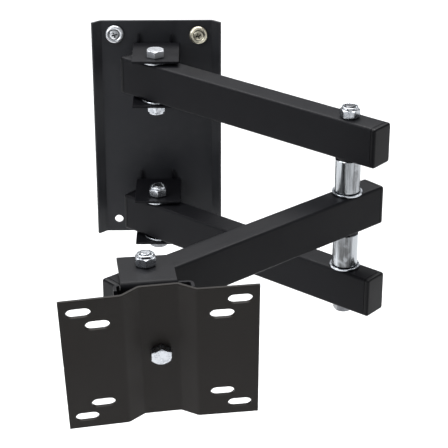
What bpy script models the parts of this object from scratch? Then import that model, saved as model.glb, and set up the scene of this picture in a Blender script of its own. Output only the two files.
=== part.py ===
"""Full motion TV wall mount: wall plate, twin long arms, front arm and tilting TV plate.

Metres, +Z up. The front faces -Y. The origin is the middle of the wall plate's back face,
which lies on the wall, so the whole mount stands in front of the plane y = 0.
Each hinge is an empty on its axis, and the pieces that it carries are its children.
"""

import math

import bmesh
import bpy
from mathutils import Matrix, Vector

# ---------------------------------------------------------------- driving dimensions
SHEET = 0.002  # steel sheet of the wall plate, the brackets, the yoke and the TV plate
GAP = 0.0003  # clearance between two pieces that touch
EDGE = 0.0003  # softened rim of cut sheet
BEND_RADIUS = 0.0025  # middle line of a folded edge

PLATE_HEIGHT = 0.184
PLATE_FLAT_WIDTH = 0.0884
FLANGE_OUT = 0.0068
FLANGE_FORWARD = 0.0060
WALL_HOLE_IN = 0.0102  # hole centre, in from the flange's bend
WALL_HOLE_DOWN = 0.011  # hole centre, in from the top and bottom edges
WALL_HOLE_DIAMETER = 0.007

PIVOT_OUT = 0.038  # wall pivot axis, measured from the wall
EAR_WIDTH = 0.0366
EAR_BEYOND = 0.0125  # ear past its pivot axis, on the free side
ARM_REACH = 0.1855  # pivot to pivot of the two long arms
FRONT_REACH = 0.1883  # pivot to pivot of the front arm
TUBE_WIDTH = 0.020
TUBE_HEIGHT = 0.030
TUBE_WALL = 0.0015
TUBE_CORNER = 0.0020
TUBE_END = 0.0250  # tube past its pivot axis
CAP_THICKNESS = 0.0035
CAP_PLUG_DEPTH = 0.010
CAP_ROUND = 0.0016
ARM_SPACING = 0.059  # centre height from one arm to the next
FRONT_ARM_Z = -0.0035

BOLT_DIAMETER = 0.008
HEAD_HEIGHT = 0.0053
NUT_HEIGHT = 0.0080
COLLAR_HEIGHT = 0.0019
COLLAR_ROUND = 0.0005
COLLAR_LIP = 0.0005
HEX_CORNER_DROP = 0.0009  # height lost where a hexagon's corners are turned off
HEX_FACE_INSET = 0.0001  # round end face of a hexagon, inside its flats
ENVELOPE_SPARE = 0.0004  # turned envelope, outside a hexagon's corners
INSERT_WALL = 0.0008
INSERT_HEIGHT = 0.0020
PLAIN_NUT_HEIGHT = 0.0065
THREAD_PAST_NUT = 0.0003
SHANK_TIP = 0.0008
THRUST_WASHER_DIAMETER = 0.0225
THRUST_WASHER = 0.0016
NYLON_WASHER_DIAMETER = 0.0170
NYLON_WASHER = 0.0010
SPACER_DIAMETER = 0.0188
SWIVEL_SPACER_DIAMETER = 0.0160
SPACER_CHAMFER = 0.0004
WASHER_CHAMFER = 0.0002
SLEEVE_DIAMETER = 0.0120

CUP_WASHER_DIAMETER = 0.0146
CUP_WASHER_HEIGHT = 0.0024
CUP_LIP = 0.0016  # rolled rim of the cup washer
CUP_THROAT = 0.0010  # bore of the cup washer, inside the screw head's rim
SCREW_HEAD_DIAMETER = 0.0076
SCREW_SHANK_DIAMETER = 0.0046
SCREW_RIM = 0.0009  # bevelled rim of the screw head
SCREW_CROWN = 0.0003  # dome of the screw head
CROSS_SPAN = 0.0044
CROSS_WIDTH = 0.0012
CROSS_DEPTH = 0.0016
LEFT_SCREW_SHIFT = (0.0007, 0.0)  # the screws sit a little off centre in their larger holes
RIGHT_SCREW_SHIFT = (-0.0006, -0.0010)

WELD_PLACES = (-0.0142, 0.0117)  # across the top of each wall bracket
WELD_HEIGHT = 0.0105
WELD_WIDTH = 0.0030
WELD_RISE = 0.0023  # middle of a weld, above the bracket's upper face

YOKE_WEB_BACK = 0.0242  # back face of the yoke's web, from the swivel axis
YOKE_WIDTH = 0.052
YOKE_BELOW_TILT = 0.0141  # tilt axis to the bottom of the lower ear
CHANNEL_OFFSET = 0.0027  # middle of the yoke's channel, to the right of the swivel axis
TILT_OFFSET = 0.0062  # tilt bolt and TV plate, to the right of the swivel axis
TILT_IN_WEB = 0.0006  # tilt axis, in front of the web's back face
TILT_BELOW_ARM = 0.0107  # tilt axis, under the front arm's lower face
TILT_SLOT_TRAVEL = 0.0012
CHEEK_REACH = 0.0101  # cheek's rounded front edge, from the tilt axis
CHEEK_LEAN = math.radians(2.3)
CHEEK_TOP = 0.0012  # top of the cheeks, under the top of the upper ear
CHEEK_DEPTH = 0.020  # sheet folded forward before the cheeks are trimmed
RELIEF = 0.0008
CHANNEL_PROUD = 0.00001  # keeps the faces of the web's two halves from lying in one plane
ROCKER_BACK = 0.0044
ROCKER_CENTRE = 0.0100
ROCKER_RADIUS = 0.0084
ROCKER_HALF = (0.0065, 0.0055)  # half width and half height

TV_WIDTH = 0.127
TV_HEIGHT = 0.122
TV_CLEAR = 0.0024  # wings to the cheeks, at the tilt axis
TV_RECESS = 0.0063
TV_RECESS_HALF = 0.0125
TV_WING_HALF = 0.0237
VESA_100 = (0.051, 0.050)
VESA_75 = (0.0395, 0.0375)
SLOT_LENGTH = 0.0160
SLOT_HEIGHT = 0.0082
TV_BEND_RADIUS = 0.005
TOE_IN = math.radians(1.5)

# rest pose, as shown: seen from above, angles from +X, anticlockwise
WALL_SWING = math.radians(-40.5)
ELBOW_FOLD = math.radians(261.3)
HEAD_TURN = math.radians(145.9)
TILT_DOWN = math.radians(18.4)
LEVEL_ROLL = math.radians(-2.5)

# ---------------------------------------------------------------- derived levels
EAR_CLEAR = GAP + THRUST_WASHER + GAP  # tube face to ear
UPPER_ARM_Z = FRONT_ARM_Z + ARM_SPACING
LOWER_ARM_Z = FRONT_ARM_Z - ARM_SPACING
ARM_GAP = ARM_SPACING - TUBE_HEIGHT
EAR_SPAN = TUBE_HEIGHT + 2 * (EAR_CLEAR + SHEET)
YOKE_TOP = FRONT_ARM_Z + EAR_SPAN / 2
TILT_Z = FRONT_ARM_Z - TUBE_HEIGHT / 2 - TILT_BELOW_ARM
YOKE_WEB_OUT = YOKE_WEB_BACK + SHEET
TILT_OUT = YOKE_WEB_BACK + TILT_IN_WEB
YOKE_BOTTOM = TILT_Z - YOKE_BELOW_TILT
TV_STANDOFF = CHEEK_REACH + TV_CLEAR + SHEET  # front of the wings, from the tilt axis
WALL_HOLE_X = PLATE_FLAT_WIDTH / 2 - WALL_HOLE_IN
WALL_HOLE_Z = PLATE_HEIGHT / 2 - WALL_HOLE_DOWN
BOLT_HOLE = BOLT_DIAMETER + 2 * GAP
HEX_FLATS = BOLT_DIAMETER * 1.625
COLLAR_DIAMETER = HEX_FLATS - 0.0011
INSERT_DIAMETER = BOLT_HOLE + 2 * INSERT_WALL

# ---------------------------------------------------------------- looks
POWDER_BLACK = ((0.018, 0.018, 0.020), 0.45, 0.0)
PLATE_BLACK = ((0.026, 0.024, 0.023), 0.50, 0.0)
PLASTIC_BLACK = ((0.020, 0.020, 0.022), 0.40, 0.0)
BRIGHT_ZINC = ((0.74, 0.76, 0.78), 0.28, 1.0)
CHROME = ((0.80, 0.82, 0.84), 0.15, 1.0)
YELLOW_ZINC = ((0.76, 0.74, 0.66), 0.32, 1.0)
NYLON_PALE = ((0.62, 0.66, 0.68), 0.45, 0.0)
NYLON_DARK = ((0.030, 0.030, 0.032), 0.55, 0.0)


def fresh_collection(name):
    collection = bpy.data.collections.new(name)
    bpy.context.scene.collection.children.link(collection)
    return collection


for old in list(bpy.data.objects):
    bpy.data.objects.remove(old, do_unlink=True)
MOUNT = fresh_collection("full_motion_tv_wall_mount")
CUTTERS = fresh_collection("cutters")


def paint(obj, look):
    """Give the object a Principled material of its own."""
    colour, roughness, metallic = look
    material = bpy.data.materials.new(obj.name + "_material")
    material.use_nodes = True
    shader = material.node_tree.nodes["Principled BSDF"]
    shader.inputs["Base Color"].default_value = (*colour, 1.0)
    shader.inputs["Roughness"].default_value = roughness
    shader.inputs["Metallic"].default_value = metallic
    obj.data.materials.append(material)


def new_object(name, bm, look=None):
    """Turn a bmesh into an object: a sub-part when it has a look, else a cutter."""
    bmesh.ops.recalc_face_normals(bm, faces=bm.faces)
    mesh = bpy.data.meshes.new(name)
    bm.to_mesh(mesh)
    bm.free()
    obj = bpy.data.objects.new(name, mesh)
    if look is None:
        CUTTERS.objects.link(obj)
        obj.hide_render = True
        obj.display_type = "WIRE"
    else:
        MOUNT.objects.link(obj)
        paint(obj, look)
    return obj


def make_cutter(obj):
    """Keep a helper solid out of the finished mount."""
    for collection in list(obj.users_collection):
        collection.objects.unlink(obj)
    CUTTERS.objects.link(obj)
    obj.hide_render = True
    obj.display_type = "WIRE"


def boolean(obj, other, operation):
    modifier = obj.modifiers.new(operation.lower(), "BOOLEAN")
    modifier.solver = "EXACT"
    modifier.operation = operation
    modifier.object = other
    other.parent = obj


def bevel(obj, width=EDGE, degrees=50):
    modifier = obj.modifiers.new("soft edge", "BEVEL")
    modifier.width = width
    modifier.segments = 1
    modifier.limit_method = "ANGLE"
    modifier.angle_limit = math.radians(degrees)


# ---------------------------------------------------------------- shapes
def box(name, low, high, look=None, round_axis=None, radius=0.0, segments=3):
    """A box between two corners, with the edges along one axis rounded."""
    bm = bmesh.new()
    bmesh.ops.create_cube(bm, size=1.0)
    low, high = Vector(low), Vector(high)
    middle = (low + high) / 2
    for vert in bm.verts:
        vert.co = middle + Vector(c * s for c, s in zip(vert.co, high - low))
    if round_axis is not None:
        edges = [e for e in bm.edges if abs((e.verts[0].co - e.verts[1].co)[round_axis]) > 1e-6]
        bmesh.ops.bevel(bm, geom=edges, offset=radius, segments=segments, profile=0.5, affect="EDGES")
    return new_object(name, bm, look)


def cylinder(name, radius, start, end, axis="Z", look=None, sides=32):
    """A round or many-sided bar from start to end along one axis, through the local origin."""
    bm = bmesh.new()
    bmesh.ops.create_cone(
        bm, cap_ends=True, segments=sides, radius1=radius, radius2=radius, depth=abs(end - start)
    )
    bmesh.ops.translate(bm, verts=bm.verts, vec=(0, 0, (start + end) / 2))
    obj = new_object(name, bm, look)
    if axis == "Y":
        obj.data.transform(Matrix.Rotation(-math.pi / 2, 4, "X"))
    return obj


def turned(name, profile, look=None, closed=True, steps=32):
    """A piece turned about Z from (radius, height) points; an open profile ends on the axis."""
    around = zip(profile, profile[1:] + profile[:1])
    if sum(r0 * h1 - r1 * h0 for (r0, h0), (r1, h1) in around) > 0:
        profile = profile[::-1]
    bm = bmesh.new()
    verts = [bm.verts.new((radius, 0.0, height)) for radius, height in profile]
    count = len(verts) if closed else len(verts) - 1
    for i in range(count):
        bm.edges.new((verts[i], verts[(i + 1) % len(verts)]))
    obj = new_object(name, bm, look)
    screw = obj.modifiers.new("turn", "SCREW")
    screw.axis = "Z"
    screw.angle = math.tau
    screw.steps = steps
    screw.render_steps = steps
    screw.use_merge_vertices = True
    screw.merge_threshold = 1e-5
    return obj


def fillet_line(corners, radius, segments=3):
    """Points along a line whose inner corners are rounded to the radius."""
    points = [Vector(corners[0])]
    for before, corner, after in zip(corners, corners[1:], corners[2:]):
        corner = Vector(corner)
        a = (Vector(before) - corner).normalized()
        b = (Vector(after) - corner).normalized()
        half = a.angle(b) / 2
        centre = corner + (a + b).normalized() * radius / math.sin(half)
        start = corner + a * radius / math.tan(half) - centre
        end = corner + b * radius / math.tan(half) - centre
        sweep = start.angle_signed(end)
        for i in range(segments + 1):
            turn = -sweep * i / segments
            c, s = math.cos(turn), math.sin(turn)
            points.append(centre + Vector((start.x * c - start.y * s, start.x * s + start.y * c)))
    points.append(Vector(corners[-1]))
    return points


def folded_sheet(name, corners, span, place, look, radius=BEND_RADIUS, thickness=SHEET):
    """Sheet steel folded along the middle line through the corners, over the span.

    place turns (along, across, over) of the sheet into a point of the piece.
    """
    line = fillet_line(corners, radius)
    bm = bmesh.new()
    first = [bm.verts.new(place(p.x, p.y, span[0])) for p in line]
    edges = [bm.edges.new(pair) for pair in zip(first, first[1:])]
    swept = bmesh.ops.extrude_edge_only(bm, edges=edges)["geom"]
    for vert in swept:
        if isinstance(vert, bmesh.types.BMVert):
            index = min(range(len(line)), key=lambda i: (vert.co - first[i].co).length)
            vert.co = place(line[index].x, line[index].y, span[1])
    obj = new_object(name, bm, look)
    solidify = obj.modifiers.new("sheet", "SOLIDIFY")
    solidify.thickness = thickness
    solidify.offset = 0.0
    solidify.use_even_offset = True
    return obj


def side_view(along, across, over):
    """Sheet line drawn in the YZ plane and spread along X."""
    return (over, along, across)


def plan_view(along, across, over):
    """Sheet line drawn in the XY plane and spread along Z."""
    return (along, across, over)


def flat_profile(name, outline, low, high, look=None):
    """A solid whose (y, z) outline runs from x = low to x = high."""
    bm = bmesh.new()
    face = bm.faces.new([bm.verts.new((low, y, z)) for y, z in outline])
    swept = bmesh.ops.extrude_face_region(bm, geom=[face])["geom"]
    verts = [v for v in swept if isinstance(v, bmesh.types.BMVert)]
    bmesh.ops.translate(bm, verts=verts, vec=(high - low, 0, 0))
    return new_object(name, bm, look)


def drill(obj, diameter, x=0.0, y=0.0, z=0.0, axis="Z", reach=0.05, sides=32):
    """Drill a round hole through the object, along Z or Y."""
    cutter = cylinder(obj.name + "_drill", diameter / 2, -reach, reach, axis=axis, sides=sides)
    cutter.location = (x, y, z)
    boolean(obj, cutter, "DIFFERENCE")


def slot(obj, x, z, length, height, reach):
    """Cut a slot with round ends through the object along Y."""
    low = (-length / 2, -reach, -height / 2)
    high = (length / 2, reach, height / 2)
    radius = height * 0.4999
    cutter = box(obj.name + "_slot", low, high, round_axis=1, radius=radius, segments=4)
    cutter.location = (x, 0, z)
    boolean(obj, cutter, "DIFFERENCE")


def axis_empty(name, parent, location, spin=0.0, about="Z"):
    empty = bpy.data.objects.new(name, None)
    empty.empty_display_size = 0.02
    MOUNT.objects.link(empty)
    empty.parent = parent
    empty.location = location
    empty.rotation_euler["XYZ".index(about)] = spin
    return empty


# ---------------------------------------------------------------- hardware
def washer(name, outer, inner, thickness, z, look, parent, chamfer=WASHER_CHAMFER, steps=32):
    """A flat ring that lies from z to z + thickness, with its outer edges chamfered."""
    a, b, c = inner / 2, outer / 2, chamfer
    profile = [(a, 0), (b - c, 0), (b, c), (b, thickness - c), (b - c, thickness), (a, thickness)]
    if not chamfer:
        profile = [(a, 0), (b, 0), (b, thickness), (a, thickness)]
    obj = turned(name, profile, look, steps=steps)
    obj.location.z = z
    obj.parent = parent
    return obj


def hex_bar(name, flats, height, look):
    """A hexagonal bar that stands on the plane z = 0."""
    return cylinder(name, flats / math.sqrt(3), 0, height, look=look, sides=6)


def chamfer_cutter(name, flats, low, high, drop_low, drop_high):
    """A turned envelope that takes the corners off the ends of a hexagon."""
    corner = flats / math.sqrt(3) + ENVELOPE_SPARE
    flat = flats / 2 - HEX_FACE_INSET
    profile = [(0, low)]
    if drop_low:
        profile += [(flat, low), (corner, low + drop_low)]
    else:
        profile += [(corner, low)]
    if drop_high:
        profile += [(corner, high - drop_high), (flat, high)]
    else:
        profile += [(corner, high)]
    profile.append((0, high))
    cutter = turned(name, profile, closed=False, steps=24)
    make_cutter(cutter)
    return cutter


def hex_bolt(name, length, parent, z, up=True, look=BRIGHT_ZINC):
    """A bolt whose head seats at z, with its shank of the given length the other way."""
    obj = hex_bar(name, HEX_FLATS, HEAD_HEIGHT, look)
    envelope = chamfer_cutter(name + "_chamfer", HEX_FLATS, 0, HEAD_HEIGHT, 0, HEX_CORNER_DROP)
    boolean(obj, envelope, "INTERSECT")
    radius = BOLT_DIAMETER / 2
    root = HEAD_HEIGHT / 2
    profile = [(0, root), (radius, root), (radius, SHANK_TIP - length)]
    profile += [(radius - SHANK_TIP, -length), (0, -length)]
    shank = turned(name + "_shank", profile, closed=False, steps=20)
    make_cutter(shank)
    boolean(obj, shank, "UNION")
    obj.location.z = z
    if not up:
        obj.rotation_euler.x = math.pi
    obj.parent = parent
    return obj


def lock_nut(name, parent, z, up=True, look=BRIGHT_ZINC):
    """A chamfered hexagon with a round collar, which holds a nylon ring under its lip."""
    hex_height = NUT_HEIGHT - COLLAR_HEIGHT
    obj = hex_bar(name, HEX_FLATS, hex_height, look)
    drop = HEX_CORNER_DROP
    envelope = chamfer_cutter(name + "_chamfer", HEX_FLATS, 0, hex_height, drop, drop)
    boolean(obj, envelope, "INTERSECT")
    outer = COLLAR_DIAMETER / 2
    lip = outer - COLLAR_ROUND
    profile = [(0, hex_height / 2), (outer, hex_height / 2), (outer, NUT_HEIGHT - COLLAR_ROUND)]
    knee = COLLAR_ROUND * 0.4
    profile += [(outer - knee, NUT_HEIGHT - knee), (lip, NUT_HEIGHT), (0, NUT_HEIGHT)]
    ring = turned(name + "_collar", profile, closed=False, steps=30)
    make_cutter(ring)
    boolean(obj, ring, "UNION")
    drill(obj, BOLT_HOLE, sides=16)
    seat = INSERT_DIAMETER / 2 + GAP
    mouth = lip - COLLAR_LIP
    low = NUT_HEIGHT - COLLAR_LIP - INSERT_HEIGHT - 2 * GAP
    high = NUT_HEIGHT - COLLAR_LIP
    above = NUT_HEIGHT + COLLAR_LIP
    pocket = turned(
        name + "_pocket",
        [(0, low), (seat, low), (seat, high), (mouth, high), (mouth, above), (0, above)],
        closed=False,
        steps=24,
    )
    make_cutter(pocket)
    boolean(obj, pocket, "DIFFERENCE")
    size = (INSERT_DIAMETER, BOLT_HOLE, INSERT_HEIGHT)
    washer(name + "_insert", *size, low + GAP, NYLON_PALE, obj, chamfer=0, steps=24)
    obj.location.z = z
    if not up:
        obj.rotation_euler.x = math.pi
    obj.parent = parent
    return obj


def thrust_washer(name, parent, z):
    return washer(name, THRUST_WASHER_DIAMETER, BOLT_HOLE, THRUST_WASHER, z, BRIGHT_ZINC, parent)


# ---------------------------------------------------------------- wall side
def wall_plate():
    half = PLATE_FLAT_WIDTH / 2
    outer = half + FLANGE_OUT
    mid = -SHEET / 2
    corners = [(-outer, mid - FLANGE_FORWARD), (-half, mid), (half, mid), (outer, mid - FLANGE_FORWARD)]
    span = (-PLATE_HEIGHT / 2, PLATE_HEIGHT / 2)
    plate = folded_sheet("wall_plate", corners, span, plan_view, POWDER_BLACK)
    bevel(plate)
    for x in (-WALL_HOLE_X, WALL_HOLE_X):
        for z in (-WALL_HOLE_Z, WALL_HOLE_Z):
            drill(plate, WALL_HOLE_DIAMETER, x=x, z=z, axis="Y")


def wall_bracket(name, arm_z):
    """A U of sheet welded to the wall plate: its two ears hold one long arm's pivot bolt."""
    back = -SHEET - GAP - SHEET / 2
    front = -PIVOT_OUT - EAR_BEYOND
    top = EAR_SPAN / 2 - SHEET / 2
    corners = [(front, top), (back, top), (back, -top), (front, -top)]
    span = (-EAR_WIDTH / 2, EAR_WIDTH / 2)
    bracket = folded_sheet(name, corners, span, side_view, POWDER_BLACK)
    bevel(bracket)
    drill(bracket, BOLT_HOLE, y=-PIVOT_OUT)
    for x in WELD_PLACES:
        bead = weld_bead(name, x)
        boolean(bracket, bead, "UNION")
    bracket.location.z = arm_z


def weld_bead(name, x):
    """A short upright weld that runs from the ear's bend up the wall plate."""
    bm = bmesh.new()
    bmesh.ops.create_uvsphere(bm, u_segments=12, v_segments=8, radius=0.5)
    bead = new_object(name + "_weld", bm)
    bead.data.transform(Matrix.Diagonal((WELD_WIDTH, SHEET, WELD_HEIGHT, 1.0)))
    bead.location = (x, -SHEET - GAP - SHEET / 2, EAR_SPAN / 2 + WELD_RISE)
    return bead


def wall_pivot_hardware(prefix, arm_z, head_up, root, swing):
    """The bolt and lock nut stay with the wall; the two thrust washers lie between tube and ears."""
    ear = EAR_SPAN / 2 + GAP
    sign = 1 if head_up else -1
    axis = axis_empty(prefix + "_pivot_bolt_axis", root, (0, -PIVOT_OUT, arm_z))
    length = EAR_SPAN + 2 * GAP + GAP + NUT_HEIGHT + THREAD_PAST_NUT
    hex_bolt(prefix + "_pivot_bolt", length, axis, sign * ear, up=head_up)
    lock_nut(prefix + "_pivot_lock_nut", axis, -sign * (ear + GAP), up=not head_up)
    face = TUBE_HEIGHT / 2 + GAP
    thrust_washer(prefix + "_pivot_washer_top", swing, arm_z + face)
    thrust_washer(prefix + "_pivot_washer_bottom", swing, arm_z - face - THRUST_WASHER)


def wall_screw(side, x, z, look):
    """A cross-head screw in a raised cup washer. Its shank is cut off at the wall's face."""
    axis = axis_empty(side + "_wall_screw_axis", None, (x, 0, z))
    washer_base = SHEET + GAP
    rim = CUP_WASHER_DIAMETER / 2
    seat = SCREW_HEAD_DIAMETER / 2
    height = CUP_WASHER_HEIGHT
    profile = [
        (rim, 0.0),
        (rim, height * 0.35),
        (rim - CUP_LIP / 3, height * 0.75),
        (rim - CUP_LIP, height),
        (seat + SCREW_RIM, height * 0.85),
        (seat - CUP_THROAT, height * 0.25),
        (seat - CUP_THROAT, 0.0),
    ]
    cup = turned(side + "_cup_washer", profile, look)
    head_top = washer_base + height
    shank = SCREW_SHANK_DIAMETER / 2
    wall_gap = GAP * 2 / 3
    screw_profile = [
        (0, wall_gap),
        (shank, wall_gap),
        (shank, washer_base + SCREW_CROWN),
        (seat, head_top - SCREW_CROWN),
        (seat - SCREW_RIM, head_top),
        (0, head_top + SCREW_CROWN),
    ]
    screw = turned(side + "_wall_screw", screw_profile, look, closed=False)
    half = Vector((CROSS_SPAN / 2, CROSS_WIDTH / 2, CROSS_DEPTH))
    for spin in (math.radians(20), math.radians(110)):
        cross = box(screw.name + "_cross", -half, half)
        cross.rotation_euler.z = spin
        cross.location.z = head_top
        boolean(screw, cross, "DIFFERENCE")
    cup.location.z = washer_base
    for obj in (cup, screw):
        obj.parent = axis
    axis.rotation_euler.x = math.pi / 2


# ---------------------------------------------------------------- arms
def arm(name, parent, z, reach):
    """A rectangular tube along local +X, from one pivot to the next, with a cap in each end."""
    low = (-TUBE_END, -TUBE_WIDTH / 2, -TUBE_HEIGHT / 2)
    high = (reach + TUBE_END, TUBE_WIDTH / 2, TUBE_HEIGHT / 2)
    tube = box(name + "_tube", low, high, POWDER_BLACK, round_axis=0, radius=TUBE_CORNER)
    inside_low = (low[0] - CAP_THICKNESS, low[1] + TUBE_WALL, low[2] + TUBE_WALL)
    inside_high = (high[0] + CAP_THICKNESS, high[1] - TUBE_WALL, high[2] - TUBE_WALL)
    corner = TUBE_CORNER - TUBE_WALL
    bore = box(name + "_bore", inside_low, inside_high, round_axis=0, radius=corner, segments=1)
    boolean(tube, bore, "DIFFERENCE")
    half = TUBE_HEIGHT / 2 - TUBE_WALL - GAP
    size = (SLEEVE_DIAMETER, BOLT_HOLE, 2 * half)
    for end, x in (("near", 0.0), ("far", reach)):
        drill(tube, BOLT_HOLE, x=x)
        sleeve_name = f"{name}_{end}_sleeve"
        sleeve = washer(sleeve_name, *size, z - half, BRIGHT_ZINC, parent, chamfer=0, steps=16)
        sleeve.location.x = x
        end_cap(f"{name}_{end}_cap", parent, x, z, -1 if end == "near" else 1)
    tube.parent = parent
    tube.location.z = z


def end_cap(name, parent, x, z, sign):
    """A moulded cap: a rounded lid as wide as the tube, and a plug that fits inside it."""
    base = TUBE_END + GAP
    y, h = TUBE_WIDTH / 2, TUBE_HEIGHT / 2
    front = base + CAP_THICKNESS
    lid = box(name, (base, -y, -h), (front, y, h), PLASTIC_BLACK, round_axis=0, radius=TUBE_CORNER)
    round_lid(lid, front)
    y -= TUBE_WALL + GAP
    h -= TUBE_WALL + GAP
    plug = box(name + "_plug", (base - CAP_PLUG_DEPTH, -y, -h), (base + CAP_THICKNESS / 2, y, h))
    boolean(lid, plug, "UNION")
    lid.location = (x, 0, z)
    if sign < 0:
        lid.rotation_euler.z = math.pi
    lid.parent = parent


def round_lid(lid, front_x):
    """Round the rim of the lid's outer face."""
    bm = bmesh.new()
    bm.from_mesh(lid.data)
    rim = [e for e in bm.edges if all(abs(v.co.x - front_x) < 1e-6 for v in e.verts)]
    rim = [e for e in rim if len(e.link_faces) == 2 and e.calc_face_angle() > 1.0]
    bmesh.ops.bevel(bm, geom=rim, offset=CAP_ROUND, segments=3, profile=0.5, affect="EDGES")
    bm.to_mesh(lid.data)
    bm.free()


def elbow_hardware(elbow):
    """One long bolt joins the three arms, with a turned spacer in each gap between them."""
    top = UPPER_ARM_Z + TUBE_HEIGHT / 2
    bottom = LOWER_ARM_Z - TUBE_HEIGHT / 2
    length = top - bottom + 3 * GAP + NUT_HEIGHT + THREAD_PAST_NUT
    hex_bolt("elbow_bolt", length, elbow, bottom - GAP, up=False)
    lock_nut("elbow_lock_nut", elbow, top + GAP)
    spacer_height = ARM_GAP - NYLON_WASHER - THRUST_WASHER - 4 * GAP
    for prefix, z in (("upper", UPPER_ARM_Z), ("lower", FRONT_ARM_Z)):
        z -= TUBE_HEIGHT / 2 + GAP + NYLON_WASHER
        size = (NYLON_WASHER_DIAMETER, BOLT_HOLE, NYLON_WASHER)
        washer(prefix + "_elbow_nylon_washer", *size, z, NYLON_DARK, elbow)
        z -= GAP + spacer_height
        size = (SPACER_DIAMETER, BOLT_HOLE, spacer_height)
        washer(prefix + "_elbow_spacer", *size, z, CHROME, elbow, SPACER_CHAMFER)
        z -= GAP + THRUST_WASHER
        thrust_washer(prefix + "_elbow_washer", elbow, z)


# ---------------------------------------------------------------- head
def head_yoke(head):
    """One bent and pressed sheet: two ears on the swivel bolt, a web, and a cheek at each side."""
    web = -YOKE_WEB_OUT + SHEET / 2
    top = YOKE_TOP - SHEET / 2
    bottom = YOKE_BOTTOM + SHEET / 2
    corners = [(EAR_BEYOND, top), (web, top), (web, bottom), (EAR_BEYOND, bottom)]
    span = (-EAR_WIDTH / 2, EAR_WIDTH / 2)
    yoke = folded_sheet("head_yoke", corners, span, side_view, POWDER_BLACK)
    boolean(yoke, cheek_channel(web), "UNION")
    drill(yoke, BOLT_HOLE)
    slot_height = BOLT_HOLE + 2 * TILT_SLOT_TRAVEL
    low = (-BOLT_HOLE / 2, -2 * SHEET, -slot_height / 2)
    high = (BOLT_HOLE / 2, 2 * SHEET, slot_height / 2)
    radius = BOLT_HOLE * 0.4999
    tilt_slot = box("head_yoke_tilt_slot", low, high, round_axis=1, radius=radius, segments=6)
    tilt_slot.location = (TILT_OFFSET, web, TILT_Z)
    boolean(yoke, tilt_slot, "DIFFERENCE")
    yoke.parent = head


def cheek_channel(web):
    """The wide web with forward cheeks, trimmed to the cheeks' rocker outline."""
    half = YOKE_WIDTH / 2 - SHEET / 2
    front = web - CHEEK_DEPTH
    corners = [(-half, front), (-half, web), (half, web), (half, front)]
    high = YOKE_TOP - CHEEK_TOP
    low = YOKE_BOTTOM + BEND_RADIUS + SHEET
    proud = SHEET + 2 * CHANNEL_PROUD
    channel = folded_sheet(
        "head_yoke_channel", corners, (low, high), plan_view, POWDER_BLACK, thickness=proud
    )
    trim = flat_profile("head_yoke_trim", cheek_outline(low, high), -YOKE_WIDTH, YOKE_WIDTH)
    boolean(channel, trim, "INTERSECT")
    ear = EAR_WIDTH / 2 + RELIEF
    fold = YOKE_TOP - BEND_RADIUS - SHEET
    relief_low = (-ear - CHANNEL_OFFSET, web - CHEEK_DEPTH, fold)
    relief_high = (ear - CHANNEL_OFFSET, 0, fold + CHEEK_DEPTH)
    relief = box("head_yoke_relief", relief_low, relief_high)
    boolean(channel, relief, "DIFFERENCE")
    channel.location.x = CHANNEL_OFFSET
    make_cutter(channel)
    return channel


def cheek_outline(low, high):
    """(y, z) outline: an arc about the tilt axis between two straight front edges."""
    lean_up = CHEEK_LEAN
    lean_down = TILT_DOWN + CHEEK_LEAN
    steps = 8
    arc = []
    for i in range(steps + 1):
        angle = lean_up - (lean_up + lean_down) * i / steps
        y = -TILT_OUT - CHEEK_REACH * math.cos(angle)
        arc.append((y, TILT_Z + CHEEK_REACH * math.sin(angle)))
    first_y, first_z = arc[0]
    last_y, last_z = arc[-1]
    high += SHEET
    low -= SHEET
    start = (first_y + (high - first_z) * math.tan(lean_up), high)
    end = (last_y + (last_z - low) * math.tan(lean_down), low)
    back = -YOKE_WEB_BACK + SHEET
    return [(back, high), start, *arc, end, (back, low)]


def swivel_hardware(head):
    """The vertical bolt that the head turns on, with a spacer under the front arm."""
    top = YOKE_TOP + GAP
    bottom = YOKE_BOTTOM - GAP
    length = top - bottom + GAP + NUT_HEIGHT + THREAD_PAST_NUT
    hex_bolt("swivel_bolt", length, head, bottom, up=False)
    lock_nut("swivel_lock_nut", head, top)
    arm_top = FRONT_ARM_Z + TUBE_HEIGHT / 2
    arm_bottom = FRONT_ARM_Z - TUBE_HEIGHT / 2
    thrust_washer("swivel_washer_top", head, arm_top + GAP)
    washer_z = arm_bottom - GAP - THRUST_WASHER
    thrust_washer("swivel_washer_bottom", head, washer_z)
    spacer_low = YOKE_BOTTOM + SHEET + GAP
    height = washer_z - GAP - spacer_low
    size = (SWIVEL_SPACER_DIAMETER, BOLT_HOLE, height)
    washer("swivel_spacer", *size, spacer_low, CHROME, head, SPACER_CHAMFER)


def rocker_washer(parent):
    """A half-round block that lets the bolt lean in the yoke's slot."""
    x, z = ROCKER_HALF
    block = cylinder("tilt_rocker_washer", ROCKER_RADIUS, -x, x, look=BRIGHT_ZINC, sides=48)
    block.data.transform(Matrix.Rotation(math.pi / 2, 4, "Y"))
    block.data.transform(Matrix.Translation((0, ROCKER_CENTRE, 0)))
    keep = box("rocker_keep", (-x, -ROCKER_RADIUS, -z), (x, ROCKER_BACK, z))
    boolean(block, keep, "INTERSECT")
    drill(block, BOLT_HOLE, axis="Y", sides=24)
    block.parent = parent


def tilt_nut(parent):
    """The nut behind the yoke that clamps the tilt."""
    nut = hex_bar("tilt_nut", HEX_FLATS, PLAIN_NUT_HEIGHT, BRIGHT_ZINC)
    drop = HEX_CORNER_DROP
    cutter = chamfer_cutter("tilt_nut_chamfer", HEX_FLATS, 0, PLAIN_NUT_HEIGHT, drop, drop)
    boolean(nut, cutter, "INTERSECT")
    drill(nut, BOLT_HOLE, sides=24)
    nut.rotation_euler = (-math.pi / 2, 0, 0)
    nut.location.y = ROCKER_BACK + GAP
    nut.parent = parent


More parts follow.
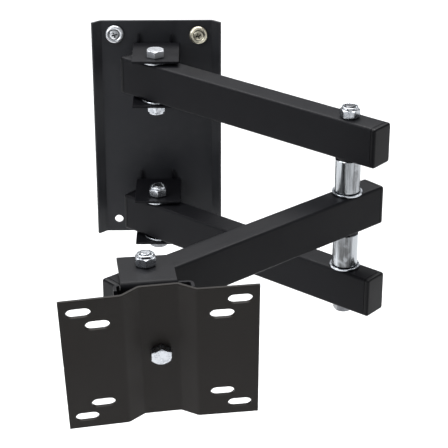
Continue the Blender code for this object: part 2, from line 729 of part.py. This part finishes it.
def tilt_hardware(tilt):
    """The bolt through the TV plate and the yoke's slot, on the tilt axis."""
    rocker_washer(tilt)
    tilt_nut(tilt)
    seat = TV_STANDOFF - TV_RECESS + GAP
    length = seat + ROCKER_BACK + GAP + PLAIN_NUT_HEIGHT + SHANK_TIP
    bolt = hex_bolt("tv_plate_bolt", length, tilt, 0)
    bolt.rotation_euler = (math.pi / 2, 0, 0)
    bolt.location = (0, -seat, 0)


def tv_plate(level):
    """The pressed plate that the television bolts to: a recessed middle and two slotted wings."""
    wing = TV_WIDTH / 2
    toe = (wing - TV_WING_HALF) * math.tan(TOE_IN)
    front = -TV_STANDOFF + SHEET / 2
    back = front + TV_RECESS
    corners = [
        (-wing, front - toe),
        (-TV_WING_HALF, front),
        (-TV_RECESS_HALF, back),
        (TV_RECESS_HALF, back),
        (TV_WING_HALF, front),
        (wing, front - toe),
    ]
    span = (-TV_HEIGHT / 2, TV_HEIGHT / 2)
    plate = folded_sheet("tv_plate", corners, span, plan_view, PLATE_BLACK, radius=TV_BEND_RADIUS)
    bevel(plate)
    drill(plate, BOLT_HOLE, axis="Y")
    for across, up in (VESA_100, VESA_75):
        for x in (-across, across):
            for z in (-up, up):
                slot(plate, x, z, SLOT_LENGTH, SLOT_HEIGHT, reach=0.03)
    plate.parent = level


# ---------------------------------------------------------------- assembly
def build():
    swing = axis_empty("wall_swing_axis", None, (0, -PIVOT_OUT, 0), WALL_SWING)
    elbow = axis_empty("elbow_axis", swing, (ARM_REACH, 0, 0), ELBOW_FOLD)
    head = axis_empty("head_swivel_axis", elbow, (FRONT_REACH, 0, 0), HEAD_TURN)
    tilt_place = (TILT_OFFSET, -TILT_OUT, TILT_Z)
    tilt = axis_empty("tilt_axis", head, tilt_place, TILT_DOWN, about="X")
    level = axis_empty("level_axis", tilt, (0, 0, 0), LEVEL_ROLL, about="Y")

    wall_plate()
    for side, sign, shift, look in (
        ("left", -1, LEFT_SCREW_SHIFT, BRIGHT_ZINC),
        ("right", 1, RIGHT_SCREW_SHIFT, YELLOW_ZINC),
    ):
        wall_screw(side, sign * WALL_HOLE_X + shift[0], WALL_HOLE_Z + shift[1], look)
    for prefix, arm_z, head_up in (("upper", UPPER_ARM_Z, True), ("lower", LOWER_ARM_Z, False)):
        wall_bracket(prefix + "_wall_bracket", arm_z)
        wall_pivot_hardware(prefix, arm_z, head_up, None, swing)
        arm(prefix + "_arm", swing, arm_z, ARM_REACH)
    elbow_hardware(axis_empty("elbow_bolt_axis", swing, (ARM_REACH, 0, 0)))
    arm("front_arm", elbow, FRONT_ARM_Z, FRONT_REACH)
    head_yoke(head)
    swivel_hardware(head)
    tilt_hardware(tilt)
    tv_plate(level)


build()
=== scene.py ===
"""Looks of the full motion TV wall mount: materials, softened edges, floor, light and camera."""

import math

import bpy
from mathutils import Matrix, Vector

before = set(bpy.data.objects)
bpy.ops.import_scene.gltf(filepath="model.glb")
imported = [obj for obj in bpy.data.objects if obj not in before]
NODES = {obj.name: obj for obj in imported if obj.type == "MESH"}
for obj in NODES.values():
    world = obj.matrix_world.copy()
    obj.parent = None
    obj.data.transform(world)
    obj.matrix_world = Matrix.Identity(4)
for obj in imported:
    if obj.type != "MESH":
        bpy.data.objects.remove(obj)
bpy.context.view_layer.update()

# ---------------------------------------------------------------- camera, metres and degrees
CAMERA_PLACE = Vector((0.0368, -1.2207, 0.4845))
CAMERA_DOWN = 25.1
CAMERA_RIGHT = 0.8
LENS_MM = 128.7
SENSOR_MM = 36.0
CLIP_NEAR = 0.05
CLIP_FAR = 60

# ---------------------------------------------------------------- floor and light, metres and watts
FLOOR_Z = -0.42
FLOOR_SIZE = 14
OBJECT_MIDDLE = (0.05, -0.16, -0.02)
SKY = (0.92, 0.95, 1.0, 1.0)
SKY_STRENGTH = 0.35
COOL_WHITE = (0.95, 0.97, 1.0)

# ---------------------------------------------------------------- softened edges, metres and degrees
WELD_GAP = 0.00001
EDGE_ROUND = 0.00015
EDGE_ANGLE = 24
FOLD_ANGLE = 32
ROUNDED_FINISHES = ("zinc", "tarnished", "fresh", "yellow", "pivot", "plastic")

# ---------------------------------------------------------------- colours, linear
POWDER = (0.0048, 0.0048, 0.0060)
POWDER_DUSTY = (0.0085, 0.0085, 0.0100)
POWDER_GRAIN = (0.050, 0.050, 0.054)
WALL_POWDER = (0.0160, 0.0165, 0.0190)
WALL_DUSTY = (0.0240, 0.0245, 0.0270)
PLATE_POWDER = (0.0105, 0.0085, 0.0070)
PLATE_DUSTY = (0.0155, 0.0130, 0.0110)
MOULDED = (0.0042, 0.0042, 0.0048)
MOULDED_WORN = (0.0100, 0.0100, 0.0108)
ZINC = (0.60, 0.62, 0.65)
ZINC_DULL = (0.36, 0.38, 0.41)
FRESH_ZINC = (0.70, 0.71, 0.73)
FRESH_ZINC_DULL = (0.50, 0.52, 0.54)
PIVOT_ZINC = (0.50, 0.51, 0.53)
PIVOT_ZINC_DULL = (0.30, 0.31, 0.33)
TARNISHED = (0.20, 0.205, 0.215)
TARNISHED_DULL = (0.11, 0.11, 0.115)
YELLOW_ZINC = (0.74, 0.70, 0.56)
YELLOW_ZINC_DULL = (0.46, 0.42, 0.32)
CHROME = (0.46, 0.48, 0.50)
CHROME_STAIN = (0.11, 0.11, 0.11)
NYLON_PALE = (0.58, 0.62, 0.64)
NYLON_DARK = (0.020, 0.020, 0.022)
PAPER = (0.86, 0.86, 0.86)
PAPER_TOOTH = (0.83, 0.83, 0.83)

# Painted shade: the zinc base colour is darkened in corners and recesses, down to this share of the
# dull colour.
CREVICE_SHADE_SHARE = 0.12  # how much of the dull colour is left in a crevice
CREVICE_DEEP = 0.48  # open sky at and below which a place counts as a crevice
CREVICE_OPEN = 0.92


# ---------------------------------------------------------------- node helpers
class Builder:
    """A material under construction, with short calls for the nodes it needs."""

    def __init__(self, name):
        self.material = bpy.data.materials.new(name)
        self.material.use_nodes = True
        self.tree = self.material.node_tree
        self.shader = self.tree.nodes["Principled BSDF"]
        self.place = self.tree.nodes.new("ShaderNodeTexCoord").outputs["Object"]

    def node(self, kind, **values):
        node = self.tree.nodes.new(kind)
        for key, value in values.items():
            setattr(node, key, value)
        return node

    def link(self, source, target):
        self.tree.links.new(source, target)

    def stretched(self, scale, turn=(0, 0, 0)):
        """Object coordinates scaled differently along each axis."""
        mapping = self.node("ShaderNodeMapping")
        mapping.inputs["Scale"].default_value = scale
        mapping.inputs["Rotation"].default_value = turn
        self.link(self.place, mapping.inputs["Vector"])
        return mapping.outputs["Vector"]

    def noise(self, scale, detail=3.0, rough=0.55, vector=None):
        noise = self.node("ShaderNodeTexNoise")
        noise.inputs["Scale"].default_value = scale
        noise.inputs["Detail"].default_value = detail
        noise.inputs["Roughness"].default_value = rough
        self.link(vector or self.place, noise.inputs["Vector"])
        return noise.outputs["Fac"]

    def cells(self, scale, feature="F1"):
        cells = self.node("ShaderNodeTexVoronoi", feature=feature)
        cells.inputs["Scale"].default_value = scale
        self.link(self.place, cells.inputs["Vector"])
        return cells.outputs["Distance"]

    def ramp(self, source, low, high, start=0.0, end=1.0):
        """Remap source from low..high to start..end, clamped."""
        ramp = self.node("ShaderNodeMapRange")
        for key, value in (("From Min", low), ("From Max", high), ("To Min", start), ("To Max", end)):
            ramp.inputs[key].default_value = value
        self.link(source, ramp.inputs["Value"])
        return ramp.outputs["Result"]

    def blend(self, amount, first, second):
        """Mix two colours, each a tuple or a socket."""
        mix = self.node("ShaderNodeMix", data_type="RGBA")
        self.link(amount, mix.inputs["Factor"])
        for key, colour in (("A", first), ("B", second)):
            socket = [s for s in mix.inputs if s.name == key and s.type == "RGBA"][0]
            if isinstance(colour, tuple):
                socket.default_value = (*colour, 1.0)
            else:
                self.link(colour, socket)
        return [s for s in mix.outputs if s.type == "RGBA"][0]

    def crevice(self, reach):
        """0 deep in a corner or a recess, 1 in the open."""
        corner = self.node("ShaderNodeAmbientOcclusion", samples=8)
        corner.inputs["Distance"].default_value = reach
        return self.ramp(corner.outputs["AO"], CREVICE_DEEP, CREVICE_OPEN)

    def math(self, operation, first, second):
        node = self.node("ShaderNodeMath", operation=operation)
        for socket, value in zip(node.inputs, (first, second)):
            if isinstance(value, (int, float)):
                socket.default_value = value
            else:
                self.link(value, socket)
        return node.outputs["Value"]

    def bump(self, *layers):
        """Stack (height, strength, distance) layers into the shader's normal."""
        normal = None
        for height, strength, distance in layers:
            bump = self.node("ShaderNodeBump")
            bump.inputs["Strength"].default_value = strength
            bump.inputs["Distance"].default_value = distance
            self.link(height, bump.inputs["Height"])
            if normal is not None:
                self.link(normal, bump.inputs["Normal"])
            normal = bump.outputs["Normal"]
        self.link(normal, self.shader.inputs["Normal"])

    def set(self, **values):
        for key, value in values.items():
            self.shader.inputs[key.replace("_", " ")].default_value = value


# ---------------------------------------------------------------- materials
def powder_coat(name, colour, dusty, rough=0.46, specular=0.10):
    """Baked powder coat: fine orange peel, a little pinhead grain, and a film of dust."""
    m = Builder(name)
    film = m.ramp(m.noise(26, detail=5, rough=0.62), 0.38, 0.70)
    patches = m.ramp(m.noise(190, detail=4), 0.45, 0.72)
    dust = m.math("MULTIPLY", film, m.ramp(patches, 0, 1, 0.45, 1.0))
    speck = m.ramp(m.noise(2600, detail=1), 0.72, 0.80)
    shade = m.blend(dust, colour, dusty)
    shade = m.blend(m.math("MULTIPLY", speck, 0.35), shade, POWDER_GRAIN)
    m.link(shade, m.shader.inputs["Base Color"])
    film_rough = m.ramp(film, 0, 1, rough - 0.05, rough + 0.08)
    m.link(m.math("ADD", film_rough, m.ramp(patches, 0, 1, 0, 0.05)), m.shader.inputs["Roughness"])
    peel = m.noise(950, detail=2)
    grain = m.cells(2100, "SMOOTH_F1")
    m.bump((peel, 0.30, 0.00012), (grain, 0.22, 0.00006))
    m.set(Specular_IOR_Level=specular)
    return m.material


def moulded_plastic(name):
    """Black polyethylene cap: soft sheen, faint flow marks and scuffs."""
    m = Builder(name)
    flow = m.noise(60, detail=4, rough=0.6)
    scuff = m.ramp(m.noise(420, detail=6, rough=0.7, vector=m.stretched((1, 1, 0.25))), 0.56, 0.74)
    m.link(m.blend(scuff, MOULDED, MOULDED_WORN), m.shader.inputs["Base Color"])
    rough = m.math("ADD", m.ramp(flow, 0.3, 0.7, 0.30, 0.40), m.ramp(scuff, 0, 1, 0, 0.12))
    m.link(rough, m.shader.inputs["Roughness"])
    m.bump((m.noise(1400, detail=2), 0.22, 0.00008), (flow, 0.15, 0.0004))
    m.set(Specular_IOR_Level=0.12)
    return m.material


def bright_zinc(name, colour, dull, rough=0.20, reach=0.0016):
    """Passivated zinc on forged steel: cloudy lustre, pits and fine handling scratches, with painted
    shade darkening its crevices.
    """
    m = Builder(name)
    cloud = m.ramp(m.noise(330, detail=4, rough=0.6), 0.40, 0.68)
    along_scratches = m.stretched((0.25, 1.6, 1.0), (0.4, 0.9, 0.3))
    scratch = m.ramp(m.noise(900, detail=3, vector=along_scratches), 0.60, 0.74)
    pits = m.ramp(m.cells(1700), 0.05, 0.22, 1.0, 0.0)
    metal = m.blend(m.math("MULTIPLY", cloud, 0.60), colour, dull)
    # Painted shade: in corners and recesses the base colour falls towards a small share of the dull
    # colour.
    painted_crevice_shade = tuple(c * CREVICE_SHADE_SHARE for c in dull)
    m.link(m.blend(m.crevice(reach), painted_crevice_shade, metal), m.shader.inputs["Base Color"])
    worn = m.math("ADD", m.ramp(cloud, 0, 1, rough, rough + 0.14), m.ramp(scratch, 0, 1, 0, 0.12))
    m.link(worn, m.shader.inputs["Roughness"])
    m.bump((cloud, 0.08, 0.00006), (scratch, 0.12, 0.00004), (pits, 0.06, 0.00003))
    m.set(Metallic=1.0)
    return m.material


def drawn_chrome(name):
    """Plated tube: long draw lines along the tube, and dark stains that follow them."""
    m = Builder(name)
    lines = m.noise(900, detail=5, rough=0.65, vector=m.stretched((1.0, 1.0, 0.035)))
    streak = m.noise(210, detail=4, rough=0.6, vector=m.stretched((1.0, 1.0, 0.06)))
    speckle = m.ramp(m.noise(1500, detail=2), 0.62, 0.74)
    stain = m.ramp(streak, 0.44, 0.62)
    stain = m.math("MULTIPLY", stain, m.ramp(m.noise(120, detail=3), 0.25, 0.50))
    mark = m.math("MAXIMUM", m.math("MULTIPLY", stain, 0.90), m.math("MULTIPLY", speckle, 0.35))
    m.link(m.blend(mark, CHROME, CHROME_STAIN), m.shader.inputs["Base Color"])
    rough = m.math("ADD", m.ramp(lines, 0.35, 0.70, 0.12, 0.26), m.ramp(stain, 0, 1, 0, 0.22))
    m.link(rough, m.shader.inputs["Roughness"])
    m.bump((lines, 0.30, 0.00006), (speckle, 0.15, 0.00004))
    m.set(Metallic=1.0)
    return m.material


def nylon(name, colour, rough):
    """Cut nylon: waxy, with faint tool marks."""
    m = Builder(name)
    wax = m.noise(700, detail=4)
    deeper = tuple(c * 0.72 for c in colour)
    m.link(m.blend(m.ramp(wax, 0.35, 0.70), colour, deeper), m.shader.inputs["Base Color"])
    m.link(m.ramp(wax, 0.3, 0.7, rough - 0.06, rough + 0.08), m.shader.inputs["Roughness"])
    m.bump((m.noise(1800, detail=2), 0.25, 0.00006))
    m.set(Subsurface_Weight=0.05)
    return m.material


def floor_paper(name):
    """Pale seamless paper with a barely visible tooth."""
    m = Builder(name)
    tooth = m.noise(260, detail=3)
    m.link(m.blend(m.ramp(tooth, 0.3, 0.7), PAPER, PAPER_TOOTH), m.shader.inputs["Base Color"])
    m.bump((tooth, 0.05, 0.0004))
    m.set(Roughness=0.9)
    return m.material


# ---------------------------------------------------------------- finish on the CAD nodes
def finish_of(name):
    """Which look a CAD node takes, from what the node is."""
    if name == "tv_plate":
        return "plate"
    if name == "wall_plate":
        return "wall"
    if name.endswith("_cap"):
        return "plastic"
    if name.endswith("_insert"):
        return "nylon_pale"
    if "nylon" in name:
        return "nylon_dark"
    if name.endswith("spacer"):
        return "chrome"
    if name.startswith("right_"):
        return "yellow"
    if name in ("elbow_bolt", "lower_pivot_bolt"):
        return "tarnished"
    if name.startswith("left_"):
        return "fresh"
    if name == "upper_pivot_bolt":
        return "pivot"
    if name == "head_yoke" or name.endswith(("_tube", "_bracket")):
        return "powder"
    return "zinc"


def dress_nodes():
    looks = {
        "powder": powder_coat("black powder coat", POWDER, POWDER_DUSTY),
        "wall": powder_coat("wall plate powder coat", WALL_POWDER, WALL_DUSTY, specular=0.24),
        "plate": powder_coat("plate powder coat", PLATE_POWDER, PLATE_DUSTY, specular=0.12),
        "plastic": moulded_plastic("cap plastic"),
        "zinc": bright_zinc("bright zinc", ZINC, ZINC_DULL),
        "tarnished": bright_zinc("tarnished zinc", TARNISHED, TARNISHED_DULL, rough=0.26),
        "fresh": bright_zinc("fresh zinc", FRESH_ZINC, FRESH_ZINC_DULL, rough=0.34, reach=0.0014),
        "yellow": bright_zinc("yellow zinc", YELLOW_ZINC, YELLOW_ZINC_DULL, rough=0.34, reach=0.0014),
        "pivot": bright_zinc("pivot bolt zinc", PIVOT_ZINC, PIVOT_ZINC_DULL, rough=0.34, reach=0.0009),
        "chrome": drawn_chrome("drawn chrome"),
        "nylon_pale": nylon("nylon insert", NYLON_PALE, 0.42),
        "nylon_dark": nylon("nylon washer", NYLON_DARK, 0.50),
    }
    for name, obj in NODES.items():
        obj.data.materials.clear()
        obj.data.materials.append(looks[finish_of(name)])
        soften(obj, finish_of(name))


def soften(obj, finish):
    """Weld the node's facets, round the edges of small hardware and shade it smoothly."""
    weld = obj.modifiers.new("weld", "WELD")
    weld.merge_threshold = WELD_GAP
    if finish in ROUNDED_FINISHES:
        bevel = obj.modifiers.new("worn edge", "BEVEL")
        bevel.width = EDGE_ROUND
        bevel.segments = 2
        bevel.limit_method = "ANGLE"
        bevel.angle_limit = math.radians(EDGE_ANGLE)
        bevel.use_clamp_overlap = True
    split = obj.modifiers.new("crisp folds", "EDGE_SPLIT")
    split.split_angle = math.radians(FOLD_ANGLE)
    split.use_edge_sharp = False
    normals = obj.modifiers.new("shading", "WEIGHTED_NORMAL")
    normals.weight = 60
    normals.thresh = 0.01
    for polygon in obj.data.polygons:
        polygon.use_smooth = True


# ---------------------------------------------------------------- floor, light, camera
def make_floor():
    bpy.ops.mesh.primitive_plane_add(size=FLOOR_SIZE, location=(0, 0, FLOOR_Z))
    floor = bpy.context.object
    floor.name = "floor"
    floor.data.materials.append(floor_paper("floor paper"))


def soft_light(name, place, aim, size, watts, colour=(1, 1, 1)):
    """A rectangular area light at place that faces aim."""
    data = bpy.data.lights.new(name, "AREA")
    data.shape = "RECTANGLE"
    data.size, data.size_y = size
    data.energy = watts
    data.color = colour
    light = bpy.data.objects.new(name, data)
    bpy.context.scene.collection.objects.link(light)
    light.location = place
    light.rotation_euler = (Vector(aim) - Vector(place)).to_track_quat("-Z", "Y").to_euler()


def make_light():
    world = bpy.data.worlds.new("studio")
    bpy.context.scene.world = world
    world.use_nodes = True
    background = world.node_tree.nodes["Background"]
    background.inputs["Color"].default_value = SKY
    background.inputs["Strength"].default_value = SKY_STRENGTH
    soft_light("overhead", place=(-0.15, 0.10, 1.35), aim=OBJECT_MIDDLE, size=(1.5, 1.3), watts=34)
    soft_light("back wash", place=(0, 1.9, 2.3), aim=(0, 1.5, FLOOR_Z), size=(3.2, 1.2), watts=80)
    soft_light("left front", place=(-1.25, -0.85, 0.75), aim=OBJECT_MIDDLE, size=(0.5, 1.1), watts=13,
               colour=COOL_WHITE)
    soft_light("right strip", place=(1.35, -0.55, 0.35), aim=OBJECT_MIDDLE, size=(0.25, 1.2), watts=3)


def make_camera():
    data = bpy.data.cameras.new("camera")
    data.sensor_width = SENSOR_MM
    data.lens = LENS_MM
    data.clip_start = CLIP_NEAR
    data.clip_end = CLIP_FAR
    camera = bpy.data.objects.new("camera", data)
    bpy.context.scene.collection.objects.link(camera)
    camera.location = CAMERA_PLACE
    camera.rotation_euler = (math.radians(90 - CAMERA_DOWN), 0, math.radians(-CAMERA_RIGHT))
    bpy.context.scene.camera = camera
    bpy.context.scene.view_settings.view_transform = "Standard"


make_camera()
make_floor()
make_light()
dress_nodes()
